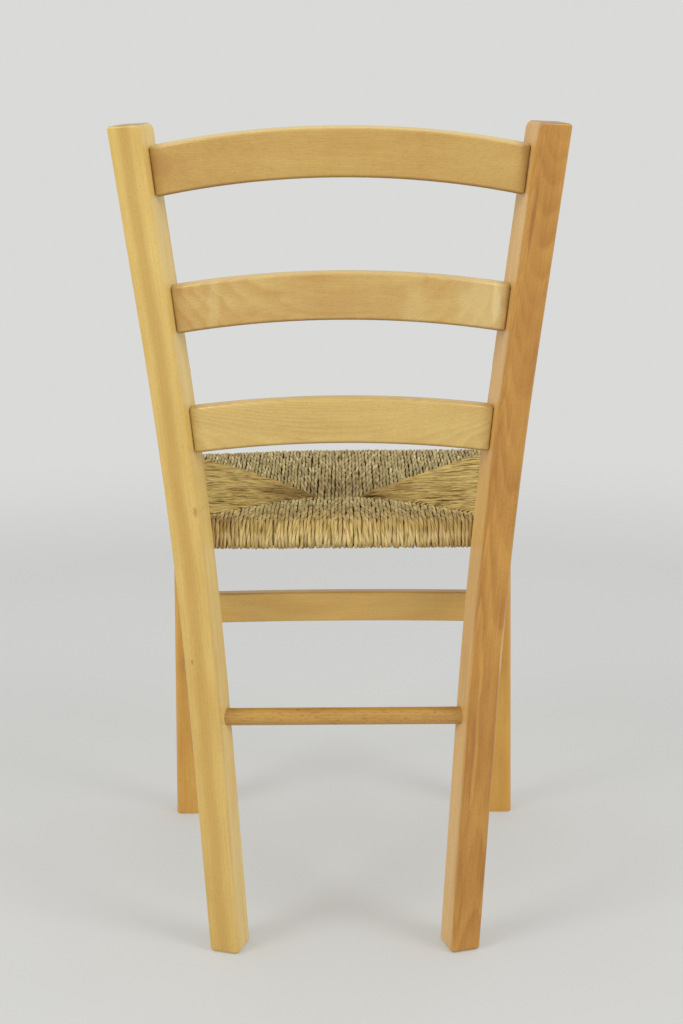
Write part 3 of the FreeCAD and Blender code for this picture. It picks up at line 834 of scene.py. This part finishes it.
class CordMesh:
    """Collects cords into one mesh.

    Each cord has a tint and fibre coordinates along and round it.  The gap attribute is 0 where a
    cord faces out of the seat and 1 where it faces the next cord.
    """

    def __init__(self):
        self.points = []
        self.faces = []
        self.loops_uv = []
        self.tints = []
        self.gaps = []
        self.total = 0

    def cord(self, panel, distance, radius, look, hand, rng):
        """One twisted cord round the panel's rail."""
        centre, normal, at = cord_line(panel, distance, radius, look)
        along = np.array(panel.along)
        turned = rng.uniform(0, 2 * math.pi) + hand * at / look["lay"] * 2 * math.pi
        swell = soft_noise(at, distance * MM * ROW_RATE, SWELL_RATE) * SWELL + 1.0
        rings = []
        beside = []
        for side in range(CORD_SIDES):
            angle = 2 * math.pi * side / CORD_SIDES
            size = (radius * lobe(angle) * swell)[:, None]
            outward = np.cos(turned + angle)[:, None]
            sideways = np.sin(turned + angle)[:, None]
            rings.append(centre + normal * outward * size + along[None] * sideways * size)
            beside.append(np.abs(sideways[:, 0]))
        self.points.append(np.stack(rings, 1).reshape(-1, 3))
        self.tints.append(np.full(len(at) * CORD_SIDES, rng.random()))
        self.gaps.append(np.stack(beside, 1).ravel())
        self.add_faces(at)

    def add_faces(self, at):
        """The faces between a cord's rings, and their fibre coordinates."""
        count = len(at)
        ring = np.arange(count - 1)[:, None] * CORD_SIDES + self.total
        side = np.arange(CORD_SIDES)[None]
        following = (side + 1) % CORD_SIDES
        beyond = ring + CORD_SIDES
        quads = np.stack([ring + side, ring + following, beyond + following, beyond + side], 2)
        self.faces.append(quads.reshape(-1, 4))
        first = np.broadcast_to(side / CORD_SIDES, (count - 1, CORD_SIDES))
        second = first + 1.0 / CORD_SIDES
        low = np.broadcast_to(at[:-1, None], first.shape)
        high = np.broadcast_to(at[1:, None], first.shape)
        uv = np.stack([low, first, low, second, high, second, high, first], 2)
        self.loops_uv.append(uv.reshape(-1, 2))
        self.total += count * CORD_SIDES

    def build(self, name, material):
        mesh = bpy.data.meshes.new(name)
        points = np.concatenate(self.points)
        faces = np.concatenate(self.faces)
        mesh.vertices.add(len(points))
        mesh.vertices.foreach_set("co", points.astype(np.float32).ravel())
        mesh.loops.add(faces.size)
        mesh.loops.foreach_set("vertex_index", faces.astype(np.int32).ravel())
        mesh.polygons.add(len(faces))
        mesh.polygons.foreach_set("loop_start", np.arange(0, faces.size, 4, dtype=np.int32))
        mesh.polygons.foreach_set("loop_total", np.full(len(faces), 4, dtype=np.int32))
        mesh.update(calc_edges=True)
        mesh.polygons.foreach_set("use_smooth", np.ones(len(faces), dtype=bool))
        uv = mesh.uv_layers.new(name="fibres")
        uv.data.foreach_set("uv", np.concatenate(self.loops_uv).astype(np.float32).ravel())
        for label, values in (("tint", self.tints), ("gap", self.gaps)):
            attribute = mesh.attributes.new(label, "FLOAT", "POINT")
            attribute.data.foreach_set("value", np.concatenate(values).astype(np.float32))
        mesh.validate()
        mesh.materials.append(material)
        return put_in_scene(name, mesh)


# Tones of the rush: the roll's dark and light leaves, the painted highlight band on the roll, rust and rare
# brown leaves.
ROLL_TONES = ((178, 150, 82), (236, 209, 140))
ROLL_HIGHLIGHT_TONE = (248, 226, 168)
RUST_TONE = (168, 112, 52)
RARE_TONE = (160, 112, 56)

# The heights between which the roll's painted highlight band comes and goes, how far from the middle of the
# chair the rust sets in, and how far from the bridge the painted shade ends.
ROLL_HIGHLIGHT_BAND = (448.0, 456.0, 461.0, 469.0)
ROLL_HIGHLIGHT_STRENGTH = 0.45
RUST_REACH = (112.0, 152.0)
RUST_EDGE = (0.35, 0.6)
GLOOM_REACH = (30.0, 125.0)

# Rates of noise: along a cord, per metre, or round it, per turn, and for patches per millimetre.
LEAF_RATE = 22.0
FIBRE_RATE = 55.0
FIBRE_TURNS = 10.0
RARE_RATE = 9.0
RARE_LAYER = 5.0
PATCHES = (0.045, 0.03, 0.06)

# What the noise does: limits of each soft value, and how strong it then is.
LEAF_RANGE = (0.25, 0.75)
PATCH_RANGE = 1.1
RARE_EDGE = (0.74, 0.80)
RARE_STRENGTH = 0.5
STREAK_EDGE = (0.48, 0.68)
FIBRE_EDGE = (0.36, 0.54)
FIBRE_SHADE = 0.66

# A key for the noise, which differs with the cord's tint and from strand to strand.
TINT_KEY = 91.7
STRAND_KEY = 17.3
STRAND_EDGE = (-0.05, 0.05)

# The width of the grooves between strands and of the gaps between cords, and their shade: how much
# light is left there on the seat's top, and how much more on the roll.
GROOVE_WIDTH = 0.24
GROOVE_SHADE = (0.44, 0.30)
GAP_START = 0.70
GAP_SHADE = (0.40, 0.45)

RUSH_WARMTH = 0.22
RUSH_ROUGHNESS = 0.6
RUSH_RELIEF = (0.0004, 0.7)


def rush_colour(tree, look, position, u, key, patch, outward):
    """Leaves from green-grey to golden, with a painted highlight band on the roll and some rust and brown."""
    leaf = tree.noise(tree.join(tree.times(u, LEAF_RATE), key, 0.0), detail=1.0)
    leaf = tree.between(leaf, *LEAF_RANGE, smooth=False)
    top = tree.mix(leaf, linear(*look["top"][0]), linear(*look["top"][1]))
    roll = tree.mix(leaf, linear(*ROLL_TONES[0]), linear(*ROLL_TONES[1]))
    colour = tree.mix(tree.clamp(tree.vary(outward, patch, PATCH_RANGE)), top, roll)

    x, _, z = tree.split(position)
    # A painted highlight band across the roll's face.
    below = tree.between(z, ROLL_HIGHLIGHT_BAND[0], ROLL_HIGHLIGHT_BAND[1])
    above = tree.between(z, ROLL_HIGHLIGHT_BAND[3], ROLL_HIGHLIGHT_BAND[2])
    band = tree.times(tree.times(below, above), outward)
    colour = tree.mix(tree.times(band, ROLL_HIGHLIGHT_STRENGTH), colour, linear(*ROLL_HIGHLIGHT_TONE))
    rust = tree.between(tree.math("ABSOLUTE", x), *RUST_REACH, 0.0, look["rust"])
    rust = tree.times(rust, tree.between(patch, *RUST_EDGE))
    colour = tree.mix(rust, colour, linear(*RUST_TONE))
    rare = tree.noise(tree.join(tree.times(u, RARE_RATE), key, RARE_LAYER), detail=0.0)
    rare = tree.times(tree.between(rare, *RARE_EDGE), RARE_STRENGTH)
    return tree.mix(rare, colour, linear(*RARE_TONE))


def rush_shade(tree, look, position, across, fibre, outward):
    """Dark streaks, fibres, painted shade in the grooves between strands and the gaps between cords, and
    painted shade at the bridge.
    """
    streak = tree.stretched(position, look["streaks"], 2.0)
    shade = tree.between(streak, *STREAK_EDGE, 1.0, 1.0 - look["depth"])
    shade = tree.times(shade, tree.between(fibre, *FIBRE_EDGE, FIBRE_SHADE, 1.0))
    on_top, more_on_roll = GROOVE_SHADE
    groove_shade = tree.math("MULTIPLY_ADD", outward, more_on_roll, on_top)
    groove = tree.between(tree.math("ABSOLUTE", across), 0.0, GROOVE_WIDTH, groove_shade, 1.0)
    shade = tree.times(shade, groove)
    on_top, more_on_roll = GAP_SHADE
    gap_shade = tree.math("MULTIPLY_ADD", outward, more_on_roll, on_top)
    gap = tree.between(tree.attribute("gap"), GAP_START, 1.0, 1.0, gap_shade)
    shade = tree.times(shade, gap)
    # Painted shade that deepens towards the bridge.
    x, y, _ = tree.split(position)
    from_bridge = tree.vector("LENGTH", tree.join(x, tree.math("SUBTRACT", y, BRIDGE_Y * MM), 0.0))
    gloom = tree.between(from_bridge, *GLOOM_REACH, 1.0 - look["gloom"], 1.0)
    return tree.times(shade, gloom)


def rush_material(name, look):
    """Twisted rush: two strands of leaves to a cord, with dark gaps."""
    tree = Tree(name)
    position = tree.millimetres()
    u, v, _ = tree.split(tree.add("UVMap", uv_map="fibres").outputs[0])
    across = tree.math("COSINE", tree.times(v, 2 * math.pi))
    strand = tree.between(across, *STRAND_EDGE)
    key = tree.times(tree.attribute("tint"), TINT_KEY)
    key = tree.math("MULTIPLY_ADD", strand, STRAND_KEY, key)
    fibre_place = tree.join(tree.times(u, FIBRE_RATE), tree.times(v, FIBRE_TURNS), key)
    fibre = tree.noise(fibre_place, detail=3.0, roughness=0.6)
    patch = tree.stretched(position, PATCHES, 2.0)
    side, inner, outer = look["roll"]
    outward = tree.between(tree.times(tree.split(position)[1], side), inner, outer)
    colour = rush_colour(tree, look, position, u, key, patch, outward)
    shade = rush_shade(tree, look, position, across, fibre, outward)
    colour = darken(tree, colour, shade, RUSH_WARMTH)
    normal = tree.bump(fibre, *RUSH_RELIEF)
    return tree.principled(colour, RUSH_ROUGHNESS, normal, Specular_IOR_Level=0.15)


BRIDGE_SHIFT = 0.004
LEFT_FAN = 0.30
RIGHT_FAN = 0.22
RIGHT_CURL = (0.014, 0.0)
NO_CURL = (0.0, 0.0)


def seat_panels():
    """The four panels of the seat, between the rails' crossings and the bridge in the middle."""
    front_left = (FRONT_CORNER_X, FRONT_RAIL_Y)
    front_right = (-FRONT_CORNER_X, FRONT_RAIL_Y)
    rear_left = (REAR_CORNER_X, REAR_RAIL_Y)
    rear_right = (-REAR_CORNER_X, REAR_RAIL_Y)
    apex_left = (BRIDGE_HALF + BRIDGE_SHIFT, BRIDGE_Y)
    apex_right = (-BRIDGE_HALF + BRIDGE_SHIFT, BRIDGE_Y)
    front = (front_left, apex_left, apex_right, front_right)
    rear = (rear_left, apex_left, apex_right, rear_right)
    left = (rear_left, apex_left, front_left)
    right = (rear_right, apex_right, front_right)
    return {
        "front": Panel((*front_left, SEAT_Z), (*front_right, SEAT_Z), front, 0.0, NO_CURL),
        "rear": Panel((*rear_left, SEAT_Z), (*rear_right, SEAT_Z), rear, 0.0, NO_CURL),
        "left": Panel((*rear_left, SEAT_Z), (*front_left, SEAT_Z), left, LEFT_FAN, NO_CURL),
        "right": Panel((*rear_right, SEAT_Z), (*front_right, SEAT_Z), right, RIGHT_FAN, RIGHT_CURL),
    }


# How the cords of a panel lie and look:
# dive is the radius with which they turn down at the mitre line, and lay the length of one twist;
# sway and lift are how far they wander sideways and out, and bunch how the lift differs between them;
# thickness is a cord's radius as a share of the pitch, and margin the room left at the rail's ends;
# top has the dark and the light tone of the seat's top;
# roll is the sign of Y, and from where to where the roll's tones set in there;
# streaks and depth are the rates and the darkness of the dark streaks;
# rust is how strong the rust is at the corners, and gloom how much painted shade the rush gets at the bridge.
END_CORDS = {
    "dive": 0.003, "lay": 0.040, "sway": 0.0015, "lift": 0.0008, "bunch": 0.9, "thickness": 0.53,
    "top": ((152, 135, 82), (236, 219, 162)), "streaks": (0.3, 0.07, 0.07), "depth": 0.34,
}
SIDE_CORDS = {
    "dive": 0.004, "lay": 0.070, "sway": 0.0022, "lift": 0.0016, "bunch": 0.12, "thickness": 0.56,
    "top": ((174, 148, 78), (232, 206, 130)), "streaks": (0.035, 0.26, 0.26), "depth": 0.62,
    "roll": (1.0, 400.0, 500.0), "rust": 0.0, "margin": (-0.0080, 0.0195),
}
CORDS = {
    "front": {
        **END_CORDS, "roll": (-1.0, 225.0, 250.0), "rust": 0.0, "gloom": 0.30,
        "margin": (0.0205, 0.0205),
    },
    "rear": {
        **END_CORDS, "thickness": 0.55, "top": ((172, 153, 88), (250, 232, 166)),
        "roll": (1.0, 20.0, 125.0), "rust": 0.6, "gloom": 0.08, "margin": (0.0060, 0.0060),
    },
    "left": {**SIDE_CORDS, "gloom": 0.60},
    "right": {**SIDE_CORDS, "top": ((184, 158, 84), (242, 216, 140)), "gloom": 0.38},
}
CORD_PITCH = 0.0040
THICKNESS_SPREAD = (0.92, 1.08)
PLACE_SPREAD = (-0.05, 0.05)


def weave_seat():
    """Wind each panel's cords; those of its two halves are twisted in opposite directions."""
    rng = random.Random(SEED)
    for name, panel in seat_panels().items():
        look = CORDS[name]
        material = rush_material("rush_" + name + "_cord", look)
        first, last = look["margin"]
        room = panel.length - first - last
        count = round(room / CORD_PITCH)
        pitch = room / count
        halves = {"a": CordMesh(), "b": CordMesh()}
        for index in range(count + 1):
            place = first + pitch * index
            near = place < panel.length / 2
            hand = 1.0 if near else -1.0
            radius = pitch * look["thickness"] * rng.uniform(*THICKNESS_SPREAD)
            place += rng.uniform(*PLACE_SPREAD) * pitch
            halves["a" if near else "b"].cord(panel, place, radius, look, hand, rng)
        for half, cords in halves.items():
            piece = cords.build("rush_cords_" + name + "_" + half, material)
            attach(piece, "root")
            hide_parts("rush_" + name)


STRAW_TONES = ((44, 34, 18), (112, 92, 52))
BLADES = (0.9, 0.08, 0.5)
BLADE_EDGE = (0.35, 0.65)
STRAW_ROUGHNESS = 0.8
STRAW_RELIEF = (0.001, 0.8)


def straw_material():
    tree = Tree("straw")
    blades = tree.stretched(tree.millimetres(), BLADES, 3.0)
    dark, light = STRAW_TONES
    colour = tree.mix(tree.between(blades, *BLADE_EDGE), linear(*dark), linear(*light))
    return tree.principled(colour, STRAW_ROUGHNESS, tree.bump(blades, *STRAW_RELIEF), Sheen_Weight=0.1)


# The straw's pad: where it starts behind the rail, what stays free of it, and how lumpy it is.
STUFFING_START = 0.020
STUFFING_MARGIN = 0.030
STUFFING_GAP = 0.002
STUFFING_LEAST = 0.004
STUFFING_STEPS = 24
LUMP_RATE = 90.0
LUMP_HEIGHT = 0.0006
LUMP_LAYERS = {"top": 0.02, "bottom": 0.05}


def straw_ring(panel, distance):
    """The pad's outline across the pocket: out along its top and back along its bottom.

    Over the outer quarters of its width the pad thins to half its height.
    """
    end = max(panel.reach(distance) - STUFFING_GAP, STUFFING_START + STUFFING_LEAST)
    steps = list(range(STUFFING_STEPS + 1))
    ring = []
    for face, order in (("top", steps), ("bottom", reversed(steps))):
        for step in order:
            inward = STUFFING_START + (end - STUFFING_START) * step / STUFFING_STEPS
            rim = min(1.0, 4 * min(step, STUFFING_STEPS - step) / STUFFING_STEPS)
            lump = noise.noise(Vector((distance, inward, LUMP_LAYERS[face])) * LUMP_RATE) * LUMP_HEIGHT
            surface = panel.top(inward) if face == "top" else panel.bottom(inward)
            height = (abs(surface) - CORD_LAYER) * (0.5 + 0.5 * math.sqrt(rim)) + lump
            point = panel.start + panel.along * distance + panel.inward * inward
            ring.append(point + Vector((0, 0, height if face == "top" else -height)))
    return ring


def skin(rings):
    """Faces over a row of closed rings, with a cap on either end."""
    size = len(rings[0])
    faces = []
    for i in range(len(rings) - 1):
        for j in range(size):
            k = (j + 1) % size
            faces.append((i * size + j, i * size + k, (i + 1) * size + k, (i + 1) * size + j))
    faces.append(tuple(range(size)))
    faces.append(tuple(reversed(range((len(rings) - 1) * size, len(rings) * size))))
    return faces


def pack_straw():
    """A pad of straw in each panel's pocket, under the cords."""
    material = straw_material()
    for name, panel in seat_panels().items():
        room = panel.length - 2 * STUFFING_MARGIN
        places = [STUFFING_MARGIN + room * step / STUFFING_STEPS for step in range(STUFFING_STEPS + 1)]
        rings = [straw_ring(panel, place) for place in places]
        mesh = bpy.data.meshes.new("straw_pad_" + name)
        mesh.from_pydata([point for ring in rings for point in ring], [], skin(rings))
        mesh.materials.append(material)
        mesh.update()
        pad = put_in_scene("straw_pad_" + name, mesh)
        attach(pad, "root")
        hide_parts("seat_stuffing_" + name)


# The floor is slightly mottled.  Seen directly, a share of its light is the backdrop's own, and far
# from the chair all of it is.
BACKDROP = (218, 218, 216)
FLOOR_COLOUR = (220, 221, 218)
FLOOR_MOTTLE = 6
FLOOR_MOTTLE_SCALE = 1.6
FLOOR_ROUGHNESS = 0.8
FLOOR_RADIUS = 14.0
FLOOR_CORNERS = 64
FADE_START = 0.95
FADE_END = 2.6
FLOOR_GLOW = 0.3


def seen_directly(tree):
    """1 for rays from the camera, and for rays that a glossy or clear surface sends on."""
    path = tree.add("LightPath")
    rays = tree.math("MAXIMUM", path.outputs["Is Camera Ray"], path.outputs["Is Glossy Ray"])
    return tree.math("MAXIMUM", rays, path.outputs["Is Transmission Ray"])


def floor_material():
    """A pale matt floor, mixed with the backdrop's own light."""
    tree = Tree("floor")
    place = tree.coordinates("Object")
    mottle = tree.noise(place, scale=FLOOR_MOTTLE_SCALE, detail=2.0)
    darker = (channel - FLOOR_MOTTLE for channel in FLOOR_COLOUR)
    colour = tree.mix(mottle, linear(*FLOOR_COLOUR), linear(*darker))
    matt = tree.wire(tree.add("BsdfPrincipled"), Base_Color=colour, Roughness=FLOOR_ROUGHNESS)
    glow = tree.wire(tree.add("Emission"), Color=linear(*BACKDROP))
    far = tree.between(tree.vector("LENGTH", place), FADE_START, FADE_END)
    share = tree.times(tree.math("MAXIMUM", far, FLOOR_GLOW), seen_directly(tree))
    tree.surface(tree.blend(share, matt.outputs[0], glow.outputs[0]))
    return tree.material


def make_floor():
    turns = [Matrix.Rotation(2 * math.pi * i / FLOOR_CORNERS, 3, "Z") for i in range(FLOOR_CORNERS)]
    rim = [turn @ Vector((FLOOR_RADIUS, 0, 0)) for turn in turns]
    mesh = bpy.data.meshes.new("floor")
    mesh.from_pydata(rim, [], [tuple(range(FLOOR_CORNERS))])
    mesh.materials.append(floor_material())
    floor = put_in_scene("floor", mesh)


WORLD_LIGHT = 0.66
LAMP_SIZE = 1.4
LAMPS = {"key": ((2.5, 2.0, 2.2), 37.0), "fill": ((-2.6, 1.9, 2.2), 37.0)}
AIM = Vector((0.0, 0.0, 0.5))


def make_light():
    """Soft even light, with a large lamp behind the chair on either side."""
    world = bpy.data.worlds.new("studio")
    world.use_nodes = True
    bpy.context.scene.world = world
    tree = Tree("studio", world.node_tree)
    seen = tree.wire(tree.add("Background"), Color=linear(*BACKDROP))
    lit = tree.wire(tree.add("Background"), Color=(1.0, 1.0, 1.0, 1.0), Strength=WORLD_LIGHT)
    both = tree.blend(seen_directly(tree), lit.outputs[0], seen.outputs[0])
    tree.surface(both, "OutputWorld")
    for name, (place, watts) in LAMPS.items():
        lamp = bpy.data.lights.new(name, "AREA")
        lamp.energy = watts
        lamp.size = LAMP_SIZE
        stand = put_in_scene(name, lamp)
        stand.location = place
        stand.rotation_euler = (AIM - Vector(place)).to_track_quat("-Z", "Y").to_euler()


def make_camera():
    """The photograph's view of the chair's back."""
    lens = bpy.data.cameras.new("camera")
    lens.sensor_width = SENSOR
    lens.lens = FOCAL_PIXELS / PHOTO_LONG_SIDE * SENSOR
    lens.clip_start, lens.clip_end = CAMERA_CLIP
    camera = put_in_scene("camera", lens)
    turn = Matrix.Rotation(math.pi - CAMERA_YAW, 3, "Z")
    tilt = Matrix.Rotation(math.pi / 2 - CAMERA_PITCH, 3, "X")
    roll = Matrix.Rotation(CAMERA_ROLL, 3, "Z")
    camera.location = CAMERA_PLACE
    camera.rotation_euler = (turn @ tilt @ roll).to_euler()
    bpy.context.scene.camera = camera


def main():
    make_camera()
    make_light()
    make_floor()
    paint_posts()
    paint_legs()
    paint_slats()
    paint_crosspieces()
    paint_rails()
    pack_straw()
    weave_seat()
    bpy.context.scene.view_settings.view_transform = "Standard"


main()
